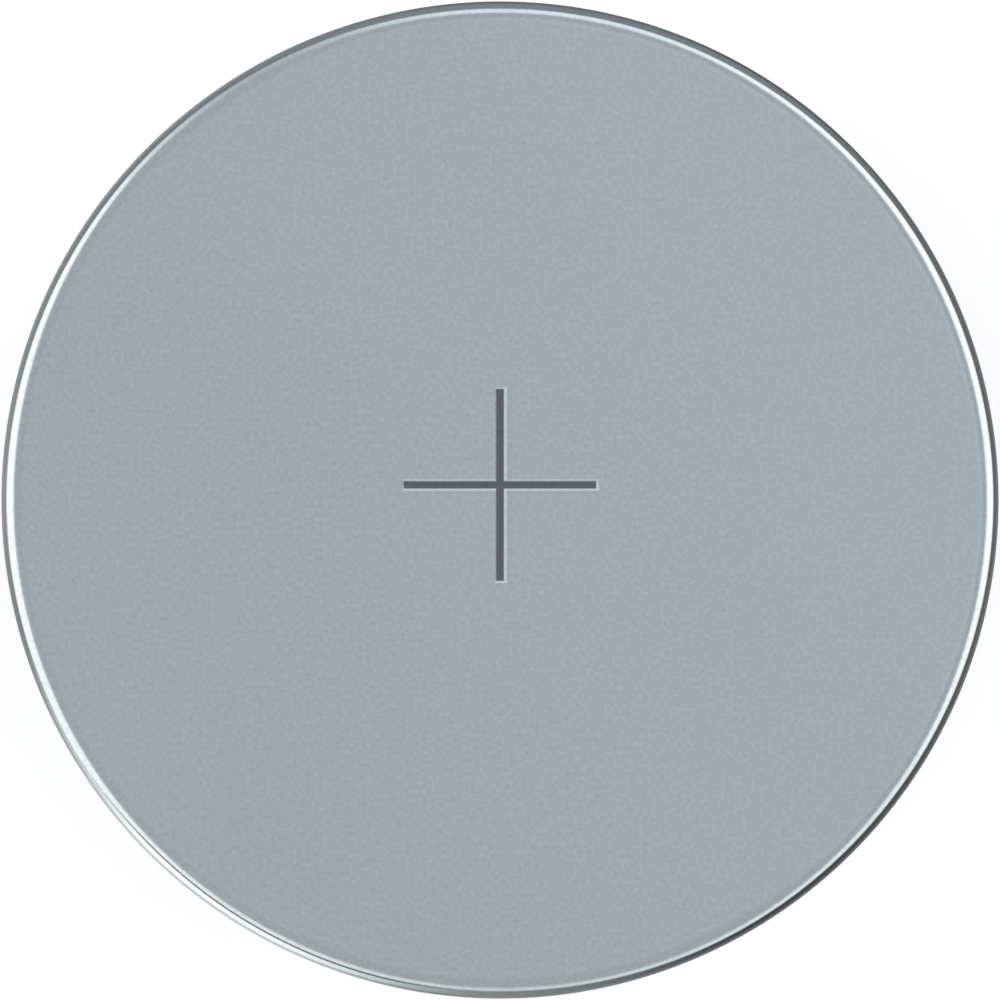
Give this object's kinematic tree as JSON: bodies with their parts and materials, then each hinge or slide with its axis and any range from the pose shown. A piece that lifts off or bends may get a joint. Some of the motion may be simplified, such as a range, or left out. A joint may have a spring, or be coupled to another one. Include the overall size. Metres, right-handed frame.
{
  "type": "button cell battery",
  "caption": "Tall lithium button cell: drawn steel can with a plus on its flat positive face, a rolled bead, a crimped plastic seal and a raised negative cap.",
  "frame": {"origin": "centre of the negative cap's outer face, which the cell stands on", "axes": "+Z along the cell's axis from the negative cap to the positive face, +Y towards the top of the plus"},
  "size_m": [0.0116, 0.0116, 0.0108],
  "materials": {
    "can_steel": "satin plated steel with a fine even grain and a polished corner",
    "cap_steel": "satin plated steel",
    "gasket_plastic": "moulded, matt",
    "cathode_mix": "pressed powder, matt",
    "lithium_foil": "soft rolled foil",
    "separator_fleece": "thin white fleece",
    "tab_metal": "thin rolled strip",
    "washer_plastic": "punched from film, milky"
  },
  "bodies": {
    "root": {"positive_can": "can_steel", "negative_cap": "cap_steel", "sealing_gasket": "gasket_plastic", "cathode_strip": "cathode_mix", "lithium_strip": "lithium_foil", "inner_separator": "separator_fleece", "outer_separator": "separator_fleece", "cathode_tab": "tab_metal", "lithium_tab": "tab_metal", "face_washer": "washer_plastic", "cap_washer": "washer_plastic"}
  },
  "joints": []
}
